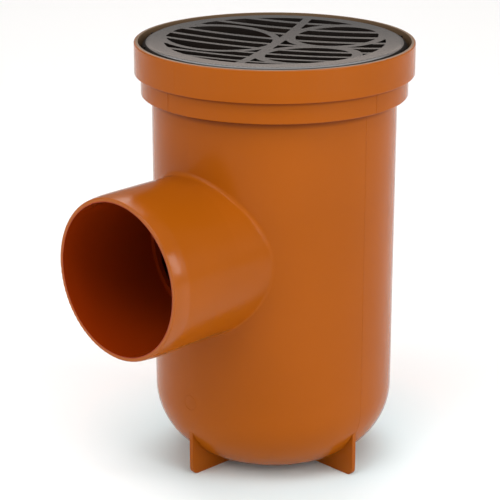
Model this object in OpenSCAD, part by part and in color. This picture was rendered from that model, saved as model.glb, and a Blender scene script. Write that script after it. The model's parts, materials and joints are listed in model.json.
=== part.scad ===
// Yard gully with a side outlet, a dished grate and a lift-out water trap.
// Origin: on the vertical axis, in the plane that the foot fins stand on.
// +Z is up, and the outlet spigot points along +X.

/* [Body] */
// Outside radius of the cylindrical body
body_r = 83; // [79:0.2:84]
// Wall thickness of the body
body_wall = 3.9; // [3.4:0.1:4.4]
// Height of the lip above the floor
total_h = 294.5; // [285:0.5:330]
// Outside radius of the curve between the wall and the flat bottom
knuckle_r = 48; // [40:1:54]
// Height of the flat bottom above the floor
bottom_gap = 2.3; // [2:0.1:6]

/* [Stepped mouth] */
// Outside radius of the upper band, which holds the grate
lip_band_r = 94.5; // [93:0.5:97]
// Height of the upper band
lip_band_h = 21.5; // [20:0.5:24]
// Wall thickness of the upper band
lip_wall = 2.7; // [2.4:0.1:3]
// Outside radius of the lower band, which holds the trap insert
seat_band_r = 90.2; // [89.6:0.2:91]
// Height of the lower band
seat_band_h = 14.3; // [13:0.1:18]
// Wall thickness of the lower band
seat_wall = 3.6; // [3.2:0.1:4]

/* [Outlet] */
// Outside radius of the spigot that enters a standard pipe socket
spigot_r = 55; // [54.8:0.1:55.2]
// Inside radius of the outlet
outlet_bore_r = 51.2; // [50:0.2:51.6]
// Height of the outlet's axis above the floor
outlet_z = 161; // [150:0.5:175]
// Distance from the vertical axis to the end of the spigot
outlet_reach = 148.5; // [140:0.5:180]
// Length of the curved lead-in on the spigot
lead_l = 12; // [5:0.5:15]
// Depth of the lead-in at the spigot's end
lead_d = 1; // [0.8:0.1:2]
// Inside radius of the neck, where the bore steps in beside the body
neck_r = 48; // [44:0.5:50]

/* [Foot fins] */
// Thickness of each fin
fin_t = 3; // [2.5:0.1:4]
// Distance from the axis to the fins' outer edge
fin_reach = 79.3; // [74:0.1:80]
// Height of the fins, whose tops run into the body's wall
fin_h = 36; // [34:1:40]
// Turn of the fins from the outlet's direction
fin_turn = -2.6; // [-45:0.2:45]

/* [Grate] */
// Outside radius of the grate
grate_r = 89.7; // [88:0.1:90.8]
// Inside radius of the grate's solid ring
ring_in_r = 74.5; // [72:0.5:77]
// Radius on the outer edge of the ring
grate_edge_r = 6; // [2:0.5:7]
// How far the grate's top lies below the lip
grate_drop = 0.2; // [0.2:0.1:2]
// How far the middle of the grate is dished
dish_depth = 2.8; // [2:0.1:6]
// Depth of the ribs and slats
rib_depth = 8; // [6:0.5:9]
// Turn of the crossbar, counted from the outlet's direction
bar_turn = 204.9; // [0:0.1:360]
// Width of the crossbar
bar_w = 6.1; // [5:0.1:9]
// Width of each slat
slat_w = 4.5; // [3:0.1:6]
// Distance between slats
slat_pitch = 16; // [14:0.25:18]
// How far the slats are out of square with the crossbar
slat_turn = -2.4; // [-5:0.2:5]
// Inside radius of the large rib circle
big_circle_r = 36.1; // [33:0.1:37]
// Distance of the large circle's middle from the grate's
big_circle_off = 39.3; // [38:0.1:41]
// Inside radius of the two small rib circles
small_circle_r = 28.3; // [26:0.1:29]
// Width of the large circle's rib
big_rib_w = 5.4; // [5:0.1:8]
// Width of the small circles' ribs
small_rib_w = 6.9; // [6:0.1:9]

/* [Trap insert] */
// Outside radius of the dip tube
dip_r = 52; // [48:0.5:54]
// Wall thickness of the insert
insert_wall = 2.6; // [2.2:0.1:3]
// Height of the dip tube's open end above the floor
dip_end_z = 54; // [45:1:60]
// Clearance of the insert inside the body
insert_gap = 0.8; // [0.5:0.1:1.5]
// Thickness of the sealing ring under the insert's flange
seal_t = 3; // [2:0.5:4]

/* [Hidden] */
$fn = 180;
overlap = 1;                                    // how far joined shapes run into each other
body_in_r = body_r - body_wall;
lip_in_r = lip_band_r - lip_wall;
seat_in_r = seat_band_r - seat_wall;
lip_band_z = total_h - lip_band_h;              // underside of the upper band
seat_band_z = lip_band_z - seat_band_h;         // underside of the lower band
grate_seat_z = lip_band_z + body_wall;          // ledge that the grate rests on
insert_seat_z = seat_band_z + body_wall;        // ledge that the sealing ring rests on
floor_in_z = bottom_gap + body_wall;            // inside of the flat bottom
mouth_edge_r = 1;                               // rounding of the lip's outer edge
band_edge_r = 0.6;                              // rounding under both bands
rim_edge_r = 0.7;                               // rounding of the spigot's outer edge
spigot_root_r = spigot_r + 1;                   // the spigot thickens where it leaves the body
straight_l = 58;                                // from the end of that thickening to the spigot's end
neck_x = 65.5;                                  // how near the neck comes to the body's axis
neck_l = 3.5;                                   // length of the neck's narrow bore
grate_top_z = total_h - grate_drop;
ring_t = 3.4;                                   // thickness of the grate's top ring
skirt_t = 2.8;                                  // thickness of the grate's two skirts
inner_skirt_h = 11;
ring_rib_n = 12;                                // stiffening ribs under the ring
ring_rib_t = 2;
dish_r = (pow(ring_in_r, 2) + pow(dish_depth, 2)) / (2 * dish_depth);
slat_n = floor(ring_in_r / slat_pitch);         // slats on each side of the middle one
slat_shift = -1.5;                              // how far the middle slat is off the grate's middle
bar_shift = 0.5;                                // how far the crossbar is off the grate's middle
small_circles = [[40.6, 46], [-45.2, 48.3]];    // turn and distance of each one's middle
flange_z = insert_seat_z + seal_t;
flange_t = 3;
flange_r = seat_in_r - insert_gap;
collar_r = body_in_r - insert_gap;
collar_end_z = outlet_z + outlet_bore_r + 34;   // where the collar turns into the funnel
funnel_end_z = outlet_z + outlet_bore_r + 8;    // where the funnel turns into the dip tube
strap_w = 16;
strap_web_h = 12;

// Half section of a cylinder from z0 to z1, with its two outer edges rounded
module half_section(r, z0, z1, low_r = 0, high_r = 0) {
    translate([0, z0]) {
        translate([0, low_r]) square([r, z1 - z0 - low_r - high_r]);
        if (low_r > 0) {
            square([r - low_r, 2 * low_r]);
            intersection() {
                translate([r - low_r, low_r]) circle(low_r);
                translate([r - low_r - overlap, 0]) square([low_r + overlap, low_r + overlap]);
            }
        }
        if (high_r > 0) {
            translate([0, z1 - z0 - high_r - overlap]) square([r - high_r, high_r + overlap]);
            intersection() {
                translate([r - high_r, z1 - z0 - high_r]) circle(high_r);
                translate([r - high_r - overlap, z1 - z0 - high_r - overlap])
                    square([high_r + overlap, high_r + overlap]);
            }
        }
    }
}

// Outside of the body: the can and the two bands round its mouth
module body_outside() {
    rotate_extrude() {
        half_section(body_r, bottom_gap, total_h - overlap, knuckle_r);
        half_section(seat_band_r, seat_band_z, lip_band_z + overlap, band_edge_r);
        half_section(lip_band_r, lip_band_z, total_h, band_edge_r, mouth_edge_r);
    }
}

// Space inside the body, with a ledge for the insert and one for the grate
module body_inside() {
    rotate_extrude() {
        half_section(body_in_r, floor_in_z, total_h, knuckle_r - body_wall);
        half_section(seat_in_r, insert_seat_z, total_h);
        half_section(lip_in_r, grate_seat_z, total_h + overlap);
    }
}

// Puts what stands on the origin on the outlet's axis, with +Z turned to the outlet's direction
module on_outlet_axis() {
    translate([0, 0, outlet_z]) rotate([0, 90, 0]) children();
}

// Half section of the spigot's last stretch: a curved lead-in that ends in a rounded edge
module lead_section() {
    lead_r = (pow(lead_l, 2) + pow(lead_d, 2)) / (2 * lead_d);
    edge_z = lead_l - rim_edge_r;
    edge_x = spigot_r - lead_r + sqrt(pow(lead_r - rim_edge_r, 2) - pow(edge_z, 2));
    meet_z = edge_z * lead_r / (lead_r - rim_edge_r);
    translate([0, outlet_reach - lead_l]) {
        translate([0, -overlap]) square([edge_x, lead_l + overlap]);
        translate([edge_x, edge_z]) circle(rim_edge_r);
        intersection() {
            translate([spigot_r - lead_r, 0]) circle(lead_r);
            translate([0, -overlap]) square([spigot_r, meet_z + overlap]);
        }
    }
}

// Outside of the spigot, from the body's axis to its end
module spigot_outside() {
    root_end = body_r * 0.7;
    on_outlet_axis() rotate_extrude() {
        polygon([[0, 0], [spigot_root_r, 0], [spigot_root_r, root_end],
                 [spigot_r, outlet_reach - straight_l], [spigot_r, outlet_reach - lead_l],
                 [0, outlet_reach - lead_l]]);
        lead_section();
    }
}

// Short neck that carries the outlet a little way into the body
module outlet_neck() {
    on_outlet_axis() translate([0, 0, neck_x])
        cylinder(h = body_in_r + overlap - neck_x, r = spigot_r);
}

// Way through the outlet, narrower in the neck
module outlet_bore() {
    on_outlet_axis() {
        cylinder(h = neck_x + 2 * neck_l, r = neck_r);
        translate([0, 0, neck_x + neck_l]) cylinder(h = outlet_reach, r = outlet_bore_r);
    }
}

// Two crossed plates whose ends show as four fins under the body
module foot_fins() {
    corner_r = 5;
    for (turn = [0, 90]) rotate(fin_turn + turn) rotate([90, 0, 0])
        linear_extrude(fin_t, center = true)
            for (side = [0, 1]) mirror([side, 0]) {
                translate([-overlap, 0]) square([fin_reach - corner_r + overlap, fin_h]);
                translate([fin_reach - 2 * corner_r, corner_r])
                    square([2 * corner_r, fin_h - corner_r]);
                translate([fin_reach - corner_r, corner_r]) circle(corner_r);
            }
}

module body() {
    color([0.80, 0.42, 0.16]) difference() {
        union() {
            difference() {
                union() {
                    body_outside();
                    spigot_outside();
                    foot_fins();
                }
                body_inside();
            }
            outlet_neck();
        }
        outlet_bore();
    }
}

// A rib that follows a circle
module rib_circle(in_r, w) {
    difference() {
        circle(in_r + w);
        circle(in_r);
    }
}

// Parallel slats, n of them on each side of the middle one
module slats(n) {
    rotate(slat_turn) for (i = [-n : n]) translate([0, slat_shift + i * slat_pitch])
        square([2 * grate_r, slat_w], center = true);
}

// Crossbar, rib circles and slats, seen from above with the crossbar along Y
module grate_field() {
    intersection() {
        circle(ring_in_r + overlap);
        union() {
            translate([bar_shift, 0]) square([bar_w, 2 * grate_r], center = true);
            translate([-big_circle_off, 0]) rib_circle(big_circle_r, big_rib_w);
            for (spot = small_circles) rotate(spot[0])
                translate([spot[1], 0]) rib_circle(small_circle_r, small_rib_w);
            slats(1);
            difference() {
                slats(slat_n);
                translate([-big_circle_off, 0]) circle(big_circle_r + big_rib_w / 2);
            }
        }
    }
}

// Bowl of even thickness that gives the ribs and slats their dished form
module dish() {
    rotate_extrude() translate([0, grate_top_z - dish_depth + dish_r]) difference() {
        intersection() {
            circle(dish_r + rib_depth, $fn = 1440);
            translate([0, -dish_r - rib_depth]) square([ring_in_r + overlap, 4 * rib_depth]);
        }
        circle(dish_r, $fn = 1440);
    }
}

// Solid ring round the grate, with a skirt that stands on the ledge
module grate_ring() {
    rotate_extrude() {
        difference() {
            half_section(grate_r, grate_seat_z, grate_top_z, 0, grate_edge_r);
            square([ring_in_r, 2 * total_h]);
            translate([0, grate_seat_z - overlap])
                square([grate_r - skirt_t, grate_top_z - ring_t - grate_seat_z + overlap]);
        }
        translate([ring_in_r, grate_top_z - inner_skirt_h])
            square([skirt_t, inner_skirt_h - overlap]);
    }
    for (i = [0 : ring_rib_n - 1]) rotate(i * 360 / ring_rib_n)
        translate([ring_in_r + overlap, -ring_rib_t / 2, grate_top_z - inner_skirt_h])
            cube([grate_r - ring_in_r - 2 * overlap, ring_rib_t, inner_skirt_h - overlap]);
}

module grate() {
    color([0.16, 0.15, 0.15]) rotate(bar_turn - 90) {
        grate_ring();
        intersection() {
            translate([0, 0, grate_seat_z]) linear_extrude(grate_top_z - grate_seat_z) grate_field();
            dish();
        }
    }
}

// Half section of the insert's wall: collar, funnel and dip tube
module insert_section(shift) {
    polygon([[0, dip_end_z - overlap * shift], [dip_r - insert_wall * shift, dip_end_z - overlap * shift],
             [dip_r - insert_wall * shift, funnel_end_z], [collar_r - insert_wall * shift, collar_end_z],
             [collar_r - insert_wall * shift, flange_z + flange_t + overlap * shift],
             [0, flange_z + flange_t + overlap * shift]]);
}

// Strap across the collar, by which the insert is lifted out
module lifting_strap() {
    strap_l = 2 * collar_r - insert_wall;
    translate([0, 0, flange_z + flange_t / 2]) cube([strap_w, strap_l, flange_t], center = true);
    translate([0, 0, flange_z - strap_web_h / 2 + overlap])
        cube([insert_wall, strap_l, strap_web_h], center = true);
}

module trap_insert() {
    color([0.10, 0.10, 0.11]) {
        rotate_extrude() difference() {
            union() {
                insert_section(0);
                translate([0, flange_z]) square([flange_r, flange_t]);
            }
            insert_section(1);
        }
        lifting_strap();
    }
}

// Flat sealing ring between the insert's flange and its ledge
module trap_seal() {
    color([0.05, 0.05, 0.05]) translate([0, 0, insert_seat_z]) difference() {
        cylinder(h = seal_t, r = flange_r);
        translate([0, 0, -overlap]) cylinder(h = seal_t + 2 * overlap, r = body_in_r + insert_gap);
    }
}

body();
grate();
trap_insert();
trap_seal();
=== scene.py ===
"""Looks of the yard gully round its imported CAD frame: plastics, mould seams, floor, light and camera."""
import json
import math

import bmesh
import bpy
from mathutils import Matrix, Vector


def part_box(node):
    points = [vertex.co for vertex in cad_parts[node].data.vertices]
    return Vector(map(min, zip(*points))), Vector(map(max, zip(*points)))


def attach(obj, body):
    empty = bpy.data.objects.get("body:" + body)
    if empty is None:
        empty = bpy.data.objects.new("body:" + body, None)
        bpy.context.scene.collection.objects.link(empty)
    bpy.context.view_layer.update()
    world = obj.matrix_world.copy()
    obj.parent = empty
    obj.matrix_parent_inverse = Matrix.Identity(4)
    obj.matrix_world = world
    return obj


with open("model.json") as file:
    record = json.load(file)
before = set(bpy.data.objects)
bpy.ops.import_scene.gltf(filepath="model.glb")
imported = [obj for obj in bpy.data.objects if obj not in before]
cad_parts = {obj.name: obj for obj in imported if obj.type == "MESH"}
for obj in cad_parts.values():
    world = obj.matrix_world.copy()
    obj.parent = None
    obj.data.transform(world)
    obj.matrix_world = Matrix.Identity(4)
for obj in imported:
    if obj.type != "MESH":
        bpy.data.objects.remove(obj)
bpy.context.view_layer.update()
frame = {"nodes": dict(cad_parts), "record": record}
nodes = frame["nodes"]

MM = 0.001
BODY = "root"
body_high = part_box("body")[1]
spigot_mount = next(mount for mount in frame["record"]["mounts"] if mount["name"] == "outlet_spigot")

TOP_Z = body_high.z
BAND_R = body_high.y                            # upper band's radius
SEAT_R = 90.2 * MM                              # lower band's radius
WALL_R = 83 * MM                                # cylindrical wall's radius
LIP_BAND_Z = TOP_Z - 21.5 * MM
SEAT_BAND_Z = LIP_BAND_Z - 14.3 * MM
KNUCKLE_R = 48 * MM                             # curve between the wall and the flat bottom
KNUCKLE_Z = 50.3 * MM
OUTLET_Z = spigot_mount["pos_m"][2]
SPIGOT_R = spigot_mount["dims"]["r_mm"] * MM
STRAIGHT_X = 90.5 * MM                          # the spigot's even stretch starts here,
ROOT_X = 58.1 * MM                              # and it thickens from here inwards to the root's radius
ROOT_R = SPIGOT_R + 1 * MM
BORE_R = 51.2 * MM
LEAD_IN_X = 136.5 * MM                          # the curved lead-in starts here
GRATE_FLAT_R = 86.2 * MM                        # the grate's rounded outer edge starts here
FIN_TOP_Z = 31.8 * MM
ROOT_ROUNDS = 4                                 # repeats that settle where the conical root meets the wall

LENS_MM = 132.0
SENSOR_MM = 36.0
CAMERA_AT = (0.8914, 0.8206, 0.5503)
CAMERA_HEADING = math.radians(223.413)
CAMERA_DIP = math.radians(18.478)

CEILING_LEAN = math.radians(30)                 # how far the dim ceiling leans away from the camera
CEILING_FADE = (0.17, 0.37)                     # sines of the angle above it, from walls to ceiling
WALL_GLOW, CEILING_GLOW = 0.73, 0.34
ROOM_TINT = (1.0, 0.96, 0.93)

# Name, turn from the camera's side and elevation in degrees, distance, size in metres, radiance
SOFTBOXES = (
    ("front_top", 0, 65, 1.8, (1.8, 0.8), 3.05),
    ("left_top", -45, 45, 1.7, (1.0, 1.0), 1.7),
    ("right_top", 45, 45, 1.7, (1.0, 1.0), 0.55),
    ("left_low", -65, 22, 1.5, (0.8, 1.0), 1.55),
    ("right_low", 45, 18, 1.5, (0.7, 1.0), 2.7),
    ("lead_in_streak", 72, 20, 1.5, (0.16, 0.6), 9.0),
    ("far_floor", 180, 50, 3.5, (3.0, 2.0), 3.0),
)


# ---------------------------------------------------------------- shader helpers

class Shader:
    """A material under construction, with one Principled BSDF and short calls for the nodes it uses."""

    def __init__(self, name, base, roughness, specular=0.5, sheen=0.0):
        self.material = bpy.data.materials.new(name)
        self.material.use_nodes = True
        self.material.diffuse_color = (*base, 1)
        self.tree = self.material.node_tree
        self.bsdf = self.tree.nodes["Principled BSDF"]
        self.bsdf.inputs["Base Color"].default_value = (*base, 1)
        self.bsdf.inputs["Roughness"].default_value = roughness
        self.bsdf.inputs["Specular IOR Level"].default_value = specular
        self.bsdf.inputs["Sheen Weight"].default_value = sheen
        self.position = self.tree.nodes.new("ShaderNodeTexCoord").outputs["Object"]

    def node(self, kind, **settings):
        node = self.tree.nodes.new(kind)
        for key, value in settings.items():
            setattr(node, key, value)
        return node

    def link(self, source, target):
        self.tree.links.new(source, target)

    def stretched(self, scale):
        """Object position, scaled by its own factor along each axis."""
        mapping = self.node("ShaderNodeMapping")
        mapping.inputs["Scale"].default_value = scale
        self.link(self.position, mapping.inputs["Vector"])
        return mapping.outputs["Vector"]

    def noise(self, scale, detail=3.0, stretch=(1, 1, 1)):
        noise = self.node("ShaderNodeTexNoise")
        noise.inputs["Scale"].default_value = scale
        noise.inputs["Detail"].default_value = detail
        self.link(self.stretched(stretch), noise.inputs["Vector"])
        return noise.outputs["Fac"]

    def axis(self, name):
        split = self.node("ShaderNodeSeparateXYZ")
        self.link(self.position, split.inputs["Vector"])
        return split.outputs[name]

    def radius(self):
        """Distance from the part's upright axis."""
        across = self.node("ShaderNodeVectorMath", operation="LENGTH")
        self.link(self.stretched((1, 1, 0)), across.inputs[0])
        return across.outputs["Value"]

    def combine(self, operation, first, second):
        math_node = self.node("ShaderNodeMath", operation=operation)
        self.link(first, math_node.inputs[0])
        self.link(second, math_node.inputs[1])
        return math_node.outputs["Value"]

    def blend(self, share, first, second):
        """The first colour, a socket, giving way to the second, a plain colour, as the share rises to 1."""
        mix = self.node("ShaderNodeMix", data_type="RGBA")
        self.link(share, mix.inputs["Factor"])
        self.link(first, mix.inputs["A"])
        mix.inputs["B"].default_value = (*second, 1)
        return mix.outputs["Result"]

    def ramp(self, source, low, high, start=0.3, end=0.7):
        """Spreads a 0 to 1 value between two numbers or two colours."""
        ramp = self.node("ShaderNodeMapRange" if isinstance(low, (int, float)) else "ShaderNodeValToRGB")
        if isinstance(low, (int, float)):
            for key, value in (("From Min", start), ("From Max", end), ("To Min", low), ("To Max", high)):
                ramp.inputs[key].default_value = value
            self.link(source, ramp.inputs["Value"])
            return ramp.outputs["Result"]
        ends = ramp.color_ramp.elements
        ends[0].position, ends[0].color = start, (*low, 1)
        ends[1].position, ends[1].color = end, (*high, 1)
        self.link(source, ramp.inputs["Fac"])
        return ramp.outputs["Color"]

    def bump(self, heights):
        """Chains bumps: each entry is (height socket, distance in metres, strength)."""
        normal = None
        for height, distance, strength in heights:
            bump = self.node("ShaderNodeBump")
            bump.inputs["Distance"].default_value = distance
            bump.inputs["Strength"].default_value = strength
            self.link(height, bump.inputs["Height"])
            if normal is not None:
                self.link(normal, bump.inputs["Normal"])
            normal = bump.outputs["Normal"]
        self.link(normal, self.bsdf.inputs["Normal"])


def in_bore(shader):
    """Mask for the bore's painted shade: 1 on the inside of the outlet and the water way behind it, 0
    elsewhere.
    """
    across = shader.node("ShaderNodeVectorMath", operation="DISTANCE")
    across.inputs[1].default_value = (0, 0, OUTLET_Z)
    shader.link(shader.stretched((0, 1, 1)), across.inputs[0])
    near_axis = shader.ramp(across.outputs["Value"], 1.0, 0.0, BORE_R + 0.2 * MM, BORE_R + 0.8 * MM)
    in_front = shader.ramp(shader.axis("X"), 0.0, 1.0, 30 * MM, 40 * MM)
    return shader.combine("MULTIPLY", near_axis, in_front)


def under_band(shader, edge_z, depth):
    """Mask for painted shade under a band: 1 right under its lower edge, fading to 0 at the given depth
    below it.
    """
    height = shader.axis("Z")
    below = shader.ramp(height, 1.0, 0.0, edge_z, edge_z + 0.3 * MM)
    fade = shader.ramp(height, 0.0, 1.0, edge_z - depth, edge_z)
    return shader.combine("MULTIPLY", below, fade)


def inside_lip(shader):
    """Mask for painted shade round the grate: 1 on the mouth's inner wall around the grate, fading out
    across the lip's top face.
    """
    inner = shader.ramp(shader.radius(), 1.0, 0.0, BAND_R - 1.6 * MM, BAND_R)
    high = shader.ramp(shader.axis("Z"), 0.0, 1.0, TOP_Z - 16 * MM, TOP_Z - 15 * MM)
    return shader.combine("MULTIPLY", inner, high)


def orange_plastic():
    """Satin PVC-U: faint cloudy colour, painted shade that darkens it in the bore, under the bands and
    round the grate, and shinier on the spigot's lead-in."""
    shader = Shader("orange_pvc", (0.322, 0.0757, 0.0028), 0.2, specular=0.10)
    clouds = shader.noise(14.0, detail=2.0)
    colour = shader.ramp(clouds, (0.31, 0.0725, 0.0022), (0.334, 0.079, 0.0032))
    # painted shade: darker, redder colour inside the bore, where little light reaches
    colour = shader.blend(in_bore(shader), colour, (0.25, 0.025, 0.001))
    # painted shade: darker, greyer brown on the lip's inner wall and top round the grate
    colour = shader.blend(inside_lip(shader), colour, (0.15, 0.095, 0.055))
    # painted shade: darker colour under the lip band's and the seat band's lower edges
    colour = shader.blend(under_band(shader, LIP_BAND_Z, 2.8 * MM), colour, (0.13, 0.016, 0.0004))
    colour = shader.blend(under_band(shader, SEAT_BAND_Z, 5.5 * MM), colour, (0.09, 0.010, 0.0003))
    shader.link(colour, shader.bsdf.inputs["Base Color"])
    shader.link(shader.ramp(shader.noise(60.0), 0.17, 0.25), shader.bsdf.inputs["Roughness"])
    polished = shader.ramp(shader.axis("X"), 0.10, 0.22, LEAD_IN_X - 1 * MM, LEAD_IN_X + 1 * MM)
    shader.link(polished, shader.bsdf.inputs["Specular IOR Level"])
    grain = shader.noise(1800.0, detail=2.0)
    flow = shader.noise(55.0, detail=2.0, stretch=(1.0, 1.0, 0.12))
    shader.bump([(grain, 0.00003, 0.35), (flow, 0.0002, 0.15)])
    return shader.material


def grate_plastic():
    """Black moulded plastic, smooth on top and dull on the rounded outer edge."""
    shader = Shader("grate_black", (0.009, 0.007, 0.006), 0.26)
    shader.link(shader.ramp(shader.noise(40.0), (0.009, 0.007, 0.006), (0.013, 0.009, 0.007)),
                shader.bsdf.inputs["Base Color"])
    edge = shader.radius()
    shader.link(shader.ramp(edge, 0.5, 0.04, GRATE_FLAT_R, GRATE_FLAT_R + 0.6 * MM),
                shader.bsdf.inputs["Specular IOR Level"])
    shader.link(shader.ramp(edge, 0.26, 0.7, GRATE_FLAT_R, GRATE_FLAT_R + 0.6 * MM),
                shader.bsdf.inputs["Roughness"])
    shader.bump([(shader.noise(700.0, detail=2.0), 0.00001, 0.5)])
    return shader.material


def black_plastic(name, base, roughness, grain_depth):
    """Black moulded plastic with a fine etched grain and slightly uneven gloss."""
    shader = Shader(name, base, roughness)
    lighter = tuple(1.35 * part for part in base)
    shader.link(shader.ramp(shader.noise(40.0), base, lighter), shader.bsdf.inputs["Base Color"])
    shader.link(shader.ramp(shader.noise(90.0), roughness - 0.05, roughness + 0.07),
                shader.bsdf.inputs["Roughness"])
    shader.bump([(shader.noise(1400.0, detail=3.0), grain_depth, 0.6)])
    return shader.material


def seal_rubber():
    """Matt EPDM rubber with a dusty bloom."""
    shader = Shader("epdm_rubber", (0.022, 0.022, 0.023), 0.7, specular=0.35, sheen=0.1)
    shader.link(shader.ramp(shader.noise(120.0), (0.018, 0.018, 0.019), (0.032, 0.031, 0.030)),
                shader.bsdf.inputs["Base Color"])
    shader.bump([(shader.noise(900.0), 0.00004, 0.5)])
    return shader.material


def floor_white():
    """Matt white paper sweep with a painted cooler tint close to the part, which cancels the orange light
    the part throws on it.
    """
    shader = Shader("paper_floor", (0.96, 0.96, 0.96), 0.9, specular=0.1)
    near, far = 85 * MM, 160 * MM
    # painted tint: cooler colour near the part that offsets its orange bounce light
    shader.link(shader.ramp(shader.radius(), (0.80, 0.93, 0.96), (0.96, 0.96, 0.96), near, far),
                shader.bsdf.inputs["Base Color"])
    shader.bump([(shader.noise(500.0), 0.00002, 0.2)])
    return shader.material


def dress(node, material):
    """Gives a CAD node's slots one material."""
    for slot in nodes[node].material_slots:
        slot.material = material


# ---------------------------------------------------------------- moulding marks

def swept(name, rings, material, closed=False):
    """A solid skin over rings of points, capped at both ends unless it closes on itself."""
    count = len(rings[0])
    points = [point for ring in rings for point in ring]
    spans = len(rings) if closed else len(rings) - 1
    faces = []
    for span in range(spans):
        here, there = span * count, (span + 1) % len(rings) * count
        for i in range(count):
            j = (i + 1) % count
            faces.append((here + i, here + j, there + j, there + i))
    if not closed:
        faces.append(tuple(reversed(range(count))))
        faces.append(tuple(range(len(points) - count, len(points))))
    mesh = bpy.data.meshes.new(name)
    mesh.from_pydata(points, [], faces)
    skin = bmesh.new()
    skin.from_mesh(mesh)
    bmesh.ops.recalc_face_normals(skin, faces=skin.faces)
    skin.to_mesh(mesh)
    skin.free()
    mesh.materials.append(material)
    piece = bpy.data.objects.new(name, mesh)
    bpy.context.scene.collection.objects.link(piece)
    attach(piece, BODY)
    return piece


def bead_ring(point, out, along, width, height):
    """Half-round section of a bead that stands on a surface, sunk a little into it."""
    side = out.cross(along).normalized()
    sink = 0.3 * height
    section = [point - side * width / 2 - out * sink]
    for step in range(5):
        turn = math.pi * step / 4
        section.append(point - side * math.cos(turn) * width / 2 + out * math.sin(turn) * height)
    section.append(point + side * width / 2 - out * sink)
    return section


def bead(name, track, width, height, material, closed=False):
    """A bead along a track of (point, outward direction)."""
    rings = []
    last = len(track) - 1
    for i, (point, out) in enumerate(track):
        before, after = (i - 1, (i + 1) % len(track)) if closed else (max(i - 1, 0), min(i + 1, last))
        along = track[after][0] - track[before][0]
        rings.append(bead_ring(point, out, along, width, height))
    return swept(name, rings, material, closed)


def around(turn, radius, z):
    return Vector((radius * math.cos(turn), radius * math.sin(turn), z))


def wall_track(turn):
    """Down the wall and the knuckle at one turn, from under the lower band to the fin."""
    out = around(turn, 1, 0)
    track = [(around(turn, WALL_R, z), out) for z in (SEAT_BAND_Z, KNUCKLE_Z)]
    steps = 16
    lowest = math.asin((KNUCKLE_Z - FIN_TOP_Z) / KNUCKLE_R)
    for step in range(1, steps + 1):
        dip = lowest * step / steps
        radius = WALL_R - KNUCKLE_R * (1 - math.cos(dip))
        track.append((around(turn, radius, KNUCKLE_Z - KNUCKLE_R * math.sin(dip)),
                      Vector((out.x * math.cos(dip), out.y * math.cos(dip), -math.sin(dip)))))
    return track


def lip_track(turn):
    """Over the lip's outer edge at one turn."""
    out = around(turn, 1, 0)
    edge_r = 1 * MM
    track = []
    for step in range(7):
        rise = math.pi / 2 * step / 6
        centre = around(turn, BAND_R - edge_r, TOP_Z - edge_r)
        normal = out * math.cos(rise) + Vector((0, 0, math.sin(rise)))
        track.append((centre + normal * edge_r, normal))
    return track


def mould_seams(material):
    """Fine parting lines that the mould's halves and collar leave."""
    for name, turn in (("collar_seam_a", -7.3), ("collar_seam_b", 89.8)):
        angle = math.radians(turn)
        out = around(angle, 1, 0)
        track = [(around(angle, SEAT_R, z), out) for z in (SEAT_BAND_Z + 0.6 * MM, LIP_BAND_Z)]
        bead(name, track, 1.1 * MM, 0.35 * MM, material)
    bead("wall_seam", wall_track(math.radians(88.9)), 0.5 * MM, 0.14 * MM, material)
    bead("lip_nib", lip_track(math.radians(93.2)), 1.0 * MM, 0.3 * MM, material)


def gate_mark(turn, z, radius, material):
    """Round witness of the injection gate, a low bead on the wall."""
    track = []
    steps = 32
    for step in range(steps):
        angle = 2 * math.pi * step / steps
        here = turn + radius * math.cos(angle) / WALL_R
        track.append((around(here, WALL_R, z + radius * math.sin(angle)), around(here, 1, 0)))
    bead("gate_mark", track, 0.7 * MM, 0.15 * MM, material, closed=True)


def spigot_radius(x):
    """The spigot's outside radius at a distance from the body's axis."""
    part = (x - ROOT_X) / (STRAIGHT_X - ROOT_X)
    return ROOT_R + (SPIGOT_R - ROOT_R) * min(max(part, 0), 1)


def onto_wall(point, sink):
    """The nearest point on the wall, or a little under its surface."""
    level = Vector((point.x, point.y, 0)).normalized() * (WALL_R - sink)
    return level + Vector((0, 0, point.z))


def onto_spigot(point, sink):
    """The nearest point on the spigot, or a little under its surface."""
    centre = Vector((point.x, 0, OUTLET_Z))
    return centre + (point - centre).normalized() * (spigot_radius(point.x) - sink)


def outlet_fillet(material):
    """Small hollow curve where the spigot leaves the round wall, widest above it."""
    steps, parts = 240, 6
    sink = 0.05 * MM
    rings = []
    for step in range(steps):
        angle = 2 * math.pi * step / steps
        spigot_out = Vector((0, math.sin(angle), math.cos(angle)))
        x = WALL_R
        for _ in range(ROOT_ROUNDS):
            x = math.sqrt(WALL_R ** 2 - (spigot_radius(x) * math.sin(angle)) ** 2)
        point = Vector((x, 0, OUTLET_Z)) + spigot_out * spigot_radius(x)
        wall_out = Vector((point.x, point.y, 0)).normalized()
        along = wall_out.cross(spigot_out).normalized()
        reach = (2.1 + 0.9 * math.cos(angle)) * MM
        high = onto_wall(point + along.cross(wall_out) * reach, sink)
        low = onto_spigot(point + spigot_out.cross(along) * reach, sink)
        ring = [point - (wall_out + spigot_out) * reach / 4]
        for k in range(parts + 1):
            part = k / parts
            ring.append(high * (1 - part) ** 2 + point * 2 * part * (1 - part) + low * part ** 2)
        rings.append(ring)
    piece = swept("outlet_fillet", rings, material, closed=True)
    piece.data.shade_smooth()
    piece.data.set_sharp_from_angle(angle=math.radians(40))
    return piece


# ---------------------------------------------------------------- stage

def make_floor():
    half = 6.0
    mesh = bpy.data.meshes.new("floor")
    corners = [(-half, -half, 0), (half, -half, 0), (half, half, 0), (-half, half, 0)]
    mesh.from_pydata(corners, [], [(0, 1, 2, 3)])
    mesh.materials.append(floor_white())
    floor = bpy.data.objects.new("floor", mesh)
    bpy.context.scene.collection.objects.link(floor)


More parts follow.
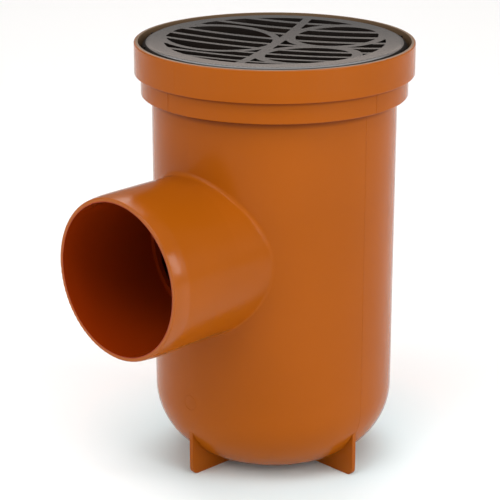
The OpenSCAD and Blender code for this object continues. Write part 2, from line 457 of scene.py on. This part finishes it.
def softbox(name, turn, elevation, distance, size, radiance, aim, tint=(1.0, 1.0, 1.0)):
    """A rectangular area light of an even brightness, facing its aim from a turn and elevation."""
    data = bpy.data.lights.new(name, "AREA")
    data.shape = "RECTANGLE"
    data.size, data.size_y = size
    data.color = tint
    data.energy = radiance * math.pi * size[0] * size[1]
    light = bpy.data.objects.new(name, data)
    out = Vector((math.cos(turn) * math.cos(elevation), math.sin(turn) * math.cos(elevation),
                  math.sin(elevation)))
    light.location = aim + distance * out
    light.rotation_euler = (-out).to_track_quat("-Z", "Y").to_euler()
    light.visible_camera = False
    bpy.context.scene.collection.objects.link(light)
    return light


def make_lights(view_turn):
    """The softboxes round the part, and a small warm one close behind the grate that its top reflects."""
    middle = Vector((0, 0, TOP_Z / 2))
    mouth = Vector((0, 0, TOP_Z))
    for name, turn, elevation, distance, size, radiance in SOFTBOXES:
        softbox(name, view_turn + math.radians(turn), math.radians(elevation), distance, size, radiance,
                middle)
    softbox("grate_glow", view_turn + math.pi, math.radians(22.8), 0.13, (0.3, 0.022), 1.5, mouth,
            tint=(1.0, 0.82, 0.72))


def make_world(view_turn):
    """Pale studio walls in front and at the sides, under a dim ceiling that leans down behind."""
    world = bpy.data.worlds.new("studio")
    bpy.context.scene.world = world
    world.use_nodes = True
    tree = world.node_tree
    background = tree.nodes["Background"]
    background.inputs["Strength"].default_value = 1.0
    direction = tree.nodes.new("ShaderNodeTexCoord")
    rise = tree.nodes.new("ShaderNodeVectorMath")
    rise.operation = "DOT_PRODUCT"
    away = view_turn + math.pi
    rise.inputs[1].default_value = (math.sin(CEILING_LEAN) * math.cos(away),
                                    math.sin(CEILING_LEAN) * math.sin(away), math.cos(CEILING_LEAN))
    tree.links.new(direction.outputs["Generated"], rise.inputs[0])
    fade = tree.nodes.new("ShaderNodeMapRange")
    for key, value in (("From Min", CEILING_FADE[0]), ("From Max", CEILING_FADE[1]),
                       ("To Min", WALL_GLOW), ("To Max", CEILING_GLOW)):
        fade.inputs[key].default_value = value
    tree.links.new(rise.outputs["Value"], fade.inputs["Value"])
    warm = tree.nodes.new("ShaderNodeVectorMath")
    warm.operation = "SCALE"
    warm.inputs[0].default_value = ROOM_TINT
    tree.links.new(fade.outputs["Result"], warm.inputs["Scale"])
    tree.links.new(warm.outputs["Vector"], background.inputs["Color"])


def make_camera():
    """Long lens above and beside the outlet, without roll. Gives the turn from the part to the camera."""
    data = bpy.data.cameras.new("camera")
    data.sensor_width = SENSOR_MM
    data.lens = LENS_MM
    camera = bpy.data.objects.new("camera", data)
    level = math.cos(CAMERA_DIP)
    forward = Vector((math.cos(CAMERA_HEADING) * level, math.sin(CAMERA_HEADING) * level,
                      -math.sin(CAMERA_DIP)))
    right = Vector((math.sin(CAMERA_HEADING), -math.cos(CAMERA_HEADING), 0))
    up = right.cross(forward)
    axes = Matrix((right, up, -forward)).transposed().to_4x4()
    camera.matrix_world = Matrix.Translation(CAMERA_AT) @ axes
    bpy.context.scene.collection.objects.link(camera)
    bpy.context.scene.camera = camera
    return CAMERA_HEADING - math.pi


view_turn = make_camera()
orange = orange_plastic()
dress("body", orange)
dress("grate", grate_plastic())
dress("trap_insert", black_plastic("insert_black", (0.010, 0.009, 0.008), 0.5, 0.00004))
dress("trap_seal", seal_rubber())
mould_seams(orange)
gate_mark(math.radians(-0.3), 55.6 * MM, 5.3 * MM, orange)
outlet_fillet(orange)
make_floor()
make_lights(view_turn)
make_world(view_turn)
bpy.context.scene.view_settings.view_transform = "Standard"
